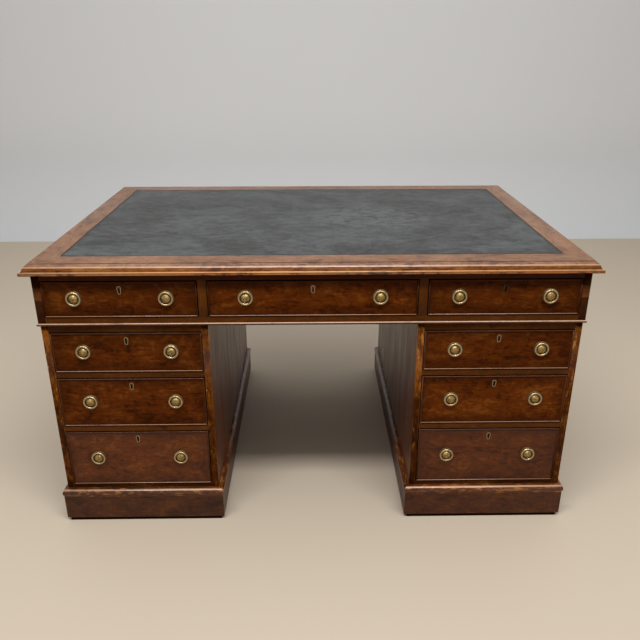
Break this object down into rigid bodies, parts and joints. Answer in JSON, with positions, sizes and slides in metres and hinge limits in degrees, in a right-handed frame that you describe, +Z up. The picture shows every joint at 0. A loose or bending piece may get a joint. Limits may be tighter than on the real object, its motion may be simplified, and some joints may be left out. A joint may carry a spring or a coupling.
{
  "type": "partners desk",
  "caption": "Double-pedestal partners desk in mahogany with a leather writing surface, graduated drawers with brass ring pulls on the front, cupboards behind and an open kneehole.",
  "frame": {"origin": "on the floor, under the middle of the desk", "axes": "+X to the right as seen from the side with the pedestal drawers, +Y towards the cupboard side, +Z up"},
  "size_m": [1.46, 0.995, 0.78],
  "materials": {
    "mahogany": "satin polish",
    "secondary_wood": "bare planed wood",
    "brass": "aged",
    "leather": "worn"
  },
  "bodies": {
    "desk": {"leather_writing_surface": "leather", "top_core_board": "secondary_wood", "top_border": "mahogany", "frieze_ends": "mahogany", "frieze_rails": "mahogany", "frieze_dividers": "mahogany", "frieze_partitions": "secondary_wood", "frieze_runners": "secondary_wood", "frieze_dust_boards": "secondary_wood", "frieze_bead": "mahogany", "left_pedestal_sides": "mahogany", "left_pedestal_rails": "mahogany", "left_pedestal_linings": "secondary_wood", "left_plinth": "mahogany", "right_pedestal_sides": "mahogany", "right_pedestal_rails": "mahogany", "right_pedestal_linings": "secondary_wood", "right_plinth": "mahogany", "plinth_feet": "secondary_wood", "door_hinges": "brass"},
    "drawer_frieze_front_left": {"drawer_frieze_front_left": "mahogany", "drawer_frieze_front_left_fittings": "brass"},
    "drawer_frieze_front_left_rings": {"drawer_frieze_front_left_rings": "brass"},
    "drawer_frieze_front_centre": {"drawer_frieze_front_centre": "mahogany", "drawer_frieze_front_centre_fittings": "brass"},
    "drawer_frieze_front_centre_rings": {"drawer_frieze_front_centre_rings": "brass"},
    "drawer_frieze_front_right": {"drawer_frieze_front_right": "mahogany", "drawer_frieze_front_right_fittings": "brass"},
    "drawer_frieze_front_right_rings": {"drawer_frieze_front_right_rings": "brass"},
    "drawer_frieze_back_left": {"drawer_frieze_back_left": "mahogany", "drawer_frieze_back_left_fittings": "brass"},
    "drawer_frieze_back_left_rings": {"drawer_frieze_back_left_rings": "brass"},
    "drawer_frieze_back_centre": {"drawer_frieze_back_centre": "mahogany", "drawer_frieze_back_centre_fittings": "brass"},
    "drawer_frieze_back_centre_rings": {"drawer_frieze_back_centre_rings": "brass"},
    "drawer_frieze_back_right": {"drawer_frieze_back_right": "mahogany", "drawer_frieze_back_right_fittings": "brass"},
    "drawer_frieze_back_right_rings": {"drawer_frieze_back_right_rings": "brass"},
    "drawer_left_upper": {"drawer_left_upper": "mahogany", "drawer_left_upper_fittings": "brass"},
    "drawer_left_upper_rings": {"drawer_left_upper_rings": "brass"},
    "drawer_left_middle": {"drawer_left_middle": "mahogany", "drawer_left_middle_fittings": "brass"},
    "drawer_left_middle_rings": {"drawer_left_middle_rings": "brass"},
    "drawer_left_lower": {"drawer_left_lower": "mahogany", "drawer_left_lower_fittings": "brass"},
    "drawer_left_lower_rings": {"drawer_left_lower_rings": "brass"},
    "drawer_right_upper": {"drawer_right_upper": "mahogany", "drawer_right_upper_fittings": "brass"},
    "drawer_right_upper_rings": {"drawer_right_upper_rings": "brass"},
    "drawer_right_middle": {"drawer_right_middle": "mahogany", "drawer_right_middle_fittings": "brass"},
    "drawer_right_middle_rings": {"drawer_right_middle_rings": "brass"},
    "drawer_right_lower": {"drawer_right_lower": "mahogany", "drawer_right_lower_fittings": "brass"},
    "drawer_right_lower_rings": {"drawer_right_lower_rings": "brass"},
    "door_left": {"door_left": "mahogany", "door_left_fittings": "brass"},
    "door_right": {"door_right": "mahogany", "door_right_fittings": "brass"}
  },
  "joints": [
    {"name": "drawer_frieze_front_left_slide", "type": "slide", "parent": "desk", "child": "drawer_frieze_front_left", "axis": [0, -1, 0], "range_m": [0, 0.36]},
    {"name": "drawer_frieze_front_left_rings_swing", "type": "hinge", "parent": "drawer_frieze_front_left", "child": "drawer_frieze_front_left_rings", "pos_m": [-0.491, -0.4817, 0.7028], "axis": [-1, 0, 0], "range_deg": [0, 170]},
    {"name": "drawer_frieze_front_centre_slide", "type": "slide", "parent": "desk", "child": "drawer_frieze_front_centre", "axis": [0, -1, 0], "range_m": [0, 0.36]},
    {"name": "drawer_frieze_front_centre_rings_swing", "type": "hinge", "parent": "drawer_frieze_front_centre", "child": "drawer_frieze_front_centre_rings", "pos_m": [0, -0.4817, 0.7028], "axis": [-1, 0, 0], "range_deg": [0, 170]},
    {"name": "drawer_frieze_front_right_slide", "type": "slide", "parent": "desk", "child": "drawer_frieze_front_right", "axis": [0, -1, 0], "range_m": [0, 0.36]},
    {"name": "drawer_frieze_front_right_rings_swing", "type": "hinge", "parent": "drawer_frieze_front_right", "child": "drawer_frieze_front_right_rings", "pos_m": [0.491, -0.4817, 0.7028], "axis": [-1, 0, 0], "range_deg": [0, 170]},
    {"name": "drawer_frieze_back_left_slide", "type": "slide", "parent": "desk", "child": "drawer_frieze_back_left", "axis": [0, 1, 0], "range_m": [0, 0.36]},
    {"name": "drawer_frieze_back_left_rings_swing", "type": "hinge", "parent": "drawer_frieze_back_left", "child": "drawer_frieze_back_left_rings", "pos_m": [-0.491, 0.4817, 0.7028], "axis": [1, 0, 0], "range_deg": [0, 170]},
    {"name": "drawer_frieze_back_centre_slide", "type": "slide", "parent": "desk", "child": "drawer_frieze_back_centre", "axis": [0, 1, 0], "range_m": [0, 0.36]},
    {"name": "drawer_frieze_back_centre_rings_swing", "type": "hinge", "parent": "drawer_frieze_back_centre", "child": "drawer_frieze_back_centre_rings", "pos_m": [0, 0.4817, 0.7028], "axis": [1, 0, 0], "range_deg": [0, 170]},
    {"name": "drawer_frieze_back_right_slide", "type": "slide", "parent": "desk", "child": "drawer_frieze_back_right", "axis": [0, 1, 0], "range_m": [0, 0.36]},
    {"name": "drawer_frieze_back_right_rings_swing", "type": "hinge", "parent": "drawer_frieze_back_right", "child": "drawer_frieze_back_right_rings", "pos_m": [0.491, 0.4817, 0.7028], "axis": [1, 0, 0], "range_deg": [0, 170]},
    {"name": "drawer_left_upper_slide", "type": "slide", "parent": "desk", "child": "drawer_left_upper", "axis": [0, -1, 0], "range_m": [0, 0.36]},
    {"name": "drawer_left_upper_rings_swing", "type": "hinge", "parent": "drawer_left_upper", "child": "drawer_left_upper_rings", "pos_m": [-0.489, -0.4782, 0.55227], "axis": [-1, 0, 0], "range_deg": [0, 170]},
    {"name": "drawer_left_middle_slide", "type": "slide", "parent": "desk", "child": "drawer_left_middle", "axis": [0, -1, 0], "range_m": [0, 0.36]},
    {"name": "drawer_left_middle_rings_swing", "type": "hinge", "parent": "drawer_left_middle", "child": "drawer_left_middle_rings", "pos_m": [-0.489, -0.4782, 0.4032], "axis": [-1, 0, 0], "range_deg": [0, 170]},
    {"name": "drawer_left_lower_slide", "type": "slide", "parent": "desk", "child": "drawer_left_lower", "axis": [0, -1, 0], "range_m": [0, 0.36]},
    {"name": "drawer_left_lower_rings_swing", "type": "hinge", "parent": "drawer_left_lower", "child": "drawer_left_lower_rings", "pos_m": [-0.489, -0.4782, 0.22523], "axis": [-1, 0, 0], "range_deg": [0, 170]},
    {"name": "drawer_right_upper_slide", "type": "slide", "parent": "desk", "child": "drawer_right_upper", "axis": [0, -1, 0], "range_m": [0, 0.36]},
    {"name": "drawer_right_upper_rings_swing", "type": "hinge", "parent": "drawer_right_upper", "child": "drawer_right_upper_rings", "pos_m": [0.489, -0.4782, 0.55227], "axis": [-1, 0, 0], "range_deg": [0, 170]},
    {"name": "drawer_right_middle_slide", "type": "slide", "parent": "desk", "child": "drawer_right_middle", "axis": [0, -1, 0], "range_m": [0, 0.36]},
    {"name": "drawer_right_middle_rings_swing", "type": "hinge", "parent": "drawer_right_middle", "child": "drawer_right_middle_rings", "pos_m": [0.489, -0.4782, 0.4032], "axis": [-1, 0, 0], "range_deg": [0, 170]},
    {"name": "drawer_right_lower_slide", "type": "slide", "parent": "desk", "child": "drawer_right_lower", "axis": [0, -1, 0], "range_m": [0, 0.36]},
    {"name": "drawer_right_lower_rings_swing", "type": "hinge", "parent": "drawer_right_lower", "child": "drawer_right_lower_rings", "pos_m": [0.489, -0.4782, 0.22523], "axis": [-1, 0, 0], "range_deg": [0, 170]},
    {"name": "door_left_swing", "type": "hinge", "parent": "desk", "child": "door_left", "pos_m": [-0.6864, 0.4762, 0.3545], "axis": [0, 0, 1], "range_deg": [0, 170]},
    {"name": "door_right_swing", "type": "hinge", "parent": "desk", "child": "door_right", "pos_m": [0.6864, 0.4762, 0.3545], "axis": [0, 0, -1], "range_deg": [0, 170]}
  ]
}
